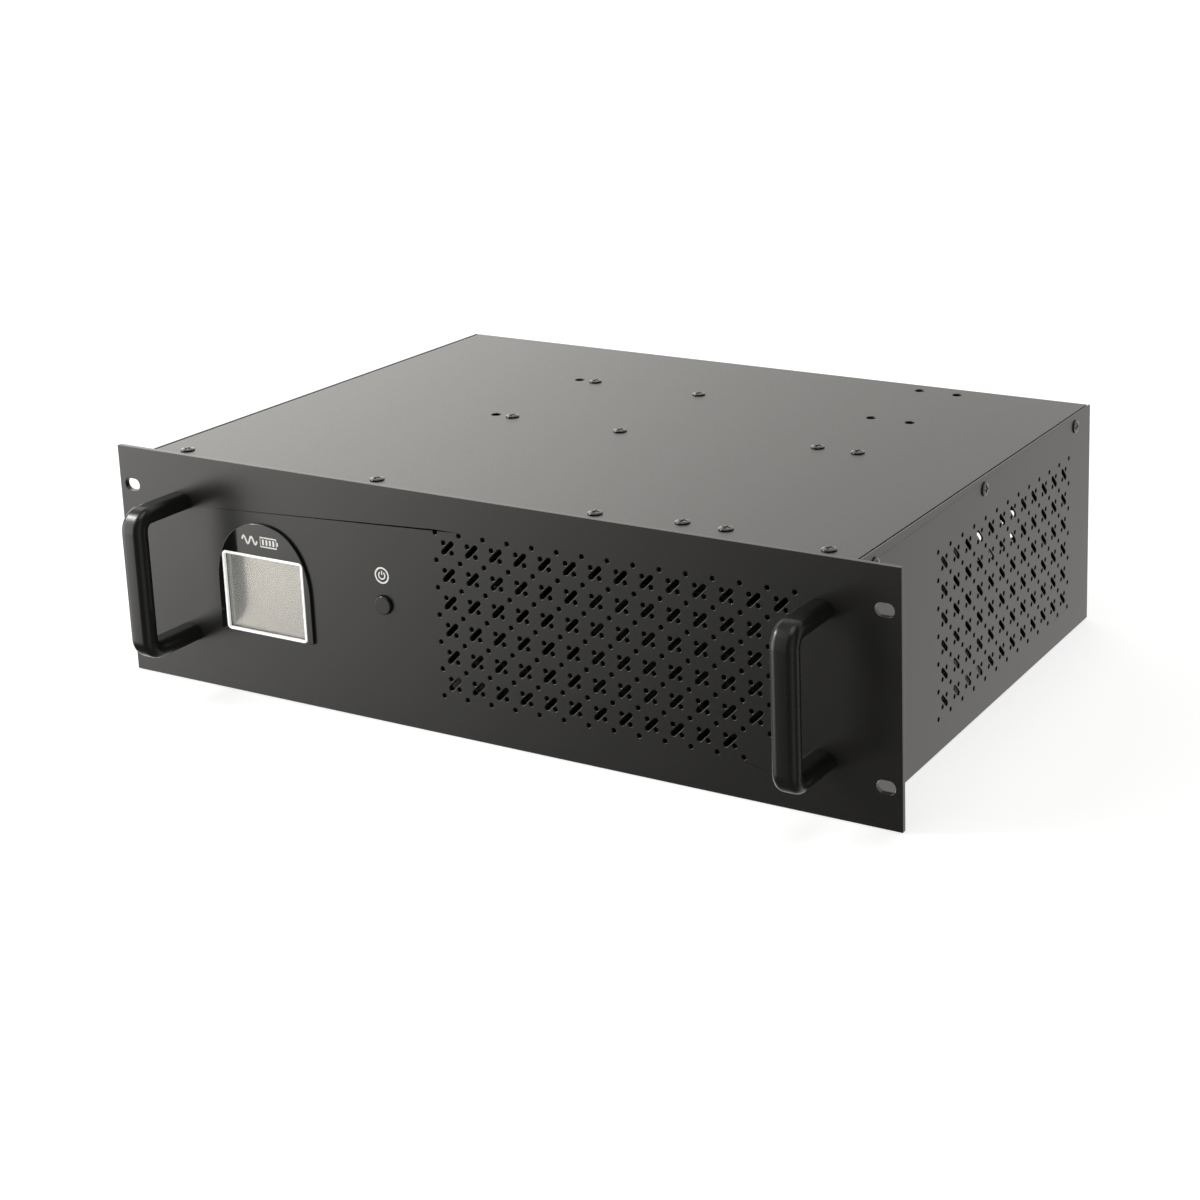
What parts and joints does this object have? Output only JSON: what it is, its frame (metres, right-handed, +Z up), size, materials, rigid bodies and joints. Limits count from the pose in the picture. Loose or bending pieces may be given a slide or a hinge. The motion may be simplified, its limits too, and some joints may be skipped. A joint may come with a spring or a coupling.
{
  "type": "rack-mount uninterruptible power supply",
  "caption": "Three-unit rack-mount uninterruptible power supply: vented black steel case, panel with ears, D-handles, arched display and a round power button.",
  "frame": {"origin": "centre of the four rack slots on the rear face of the front panel", "axes": "+X to the right seen from the front, +Y to the back of the case, +Z up"},
  "size_m": [0.4826, 0.3562, 0.1331],
  "materials": {
    "powder_coat": "satin powder coat",
    "zinc_steel": "zinc plated",
    "screw_black": "black zinc",
    "handle_black": "satin black",
    "bezel_gloss": "high gloss",
    "frame_silver": "silver paint",
    "window_clear": "clear",
    "lcd_grey": "grey liquid crystal cell",
    "board_green": "solder mask",
    "black_plastic": "moulded",
    "button_black": "satin",
    "battery_case": "moulded",
    "terminal_metal": "tin plated",
    "foam_black": "closed cell foam",
    "cable_red": "insulation",
    "cable_black": "insulation",
    "core_steel": "varnished laminations",
    "copper_winding": "varnished copper",
    "sink_aluminium": "extruded",
    "component_black": "moulded epoxy",
    "cap_sleeve": "shrink sleeve",
    "fuse_yellow": "moulded",
    "connector_white": "nylon",
    "ribbon_grey": "flat cable",
    "button_red": "moulded",
    "port_metal": "nickel plated",
    "stud_brass": "brass"
  },
  "bodies": {
    "chassis": {"front_panel": "powder_coat", "left_handle": "handle_black", "right_handle": "handle_black", "handle_screws": "zinc_steel", "display_bezel": "bezel_gloss", "window_frame": "frame_silver", "display_window": "window_clear", "lcd_module": "lcd_grey", "display_board": "board_green", "button_switch": "black_plastic", "front_frame": "zinc_steel", "base_pan": "zinc_steel", "left_side_panel": "powder_coat", "right_side_panel": "powder_coat", "top_cover": "powder_coat", "rear_panel": "powder_coat", "top_screws": "screw_black", "side_screws": "screw_black", "rear_screws": "screw_black", "small_screws": "zinc_steel", "standoffs": "zinc_steel", "battery_left": "battery_case", "battery_right": "battery_case", "battery_terminals": "terminal_metal", "front_bracket": "zinc_steel", "rear_bracket": "zinc_steel", "battery_rails": "zinc_steel", "foam_pads": "foam_black", "battery_cable_red": "cable_red", "battery_cable_black": "cable_black", "battery_link": "cable_red", "transformer_core": "core_steel", "transformer_coil": "copper_winding", "transformer_feet": "zinc_steel", "transformer_bolts": "zinc_steel", "foot_nuts": "zinc_steel", "transformer_brace": "zinc_steel", "main_board": "board_green", "heatsinks": "sink_aluminium", "power_transistors": "component_black", "capacitors": "cap_sleeve", "relays": "component_black", "fuse_holders": "fuse_yellow", "buzzer": "component_black", "board_connectors": "connector_white", "display_ribbon": "ribbon_grey", "fan_frame": "black_plastic", "fan_coil": "copper_winding", "fan_guard": "zinc_steel", "fan_screws": "screw_black", "mains_inlet": "black_plastic", "inlet_pins": "terminal_metal", "outlet_sockets": "black_plastic", "outlet_wiring": "cable_black", "breaker_body": "black_plastic", "signal_ports": "port_metal", "ground_stud": "stud_brass"},
    "power_button": {"power_button": "button_black"},
    "breaker_button": {"breaker_button": "button_red"},
    "fan_rotor": {"fan_rotor": "black_plastic"}
  },
  "joints": [
    {"name": "power_press", "type": "slide", "parent": "chassis", "child": "power_button", "axis": [0, 1, 0], "range_m": [0, 0.0015], "stiffness_N_per_m": 400, "springref_m": -0.002},
    {"name": "breaker_reset", "type": "slide", "parent": "chassis", "child": "breaker_button", "axis": [0, 1, 0], "range_m": [0, 0.003]},
    {"name": "fan_spin", "type": "hinge", "parent": "chassis", "child": "fan_rotor", "pos_m": [0.15, 0.285, 0.006], "axis": [0, 1, 0], "continuous": true}
  ]
}
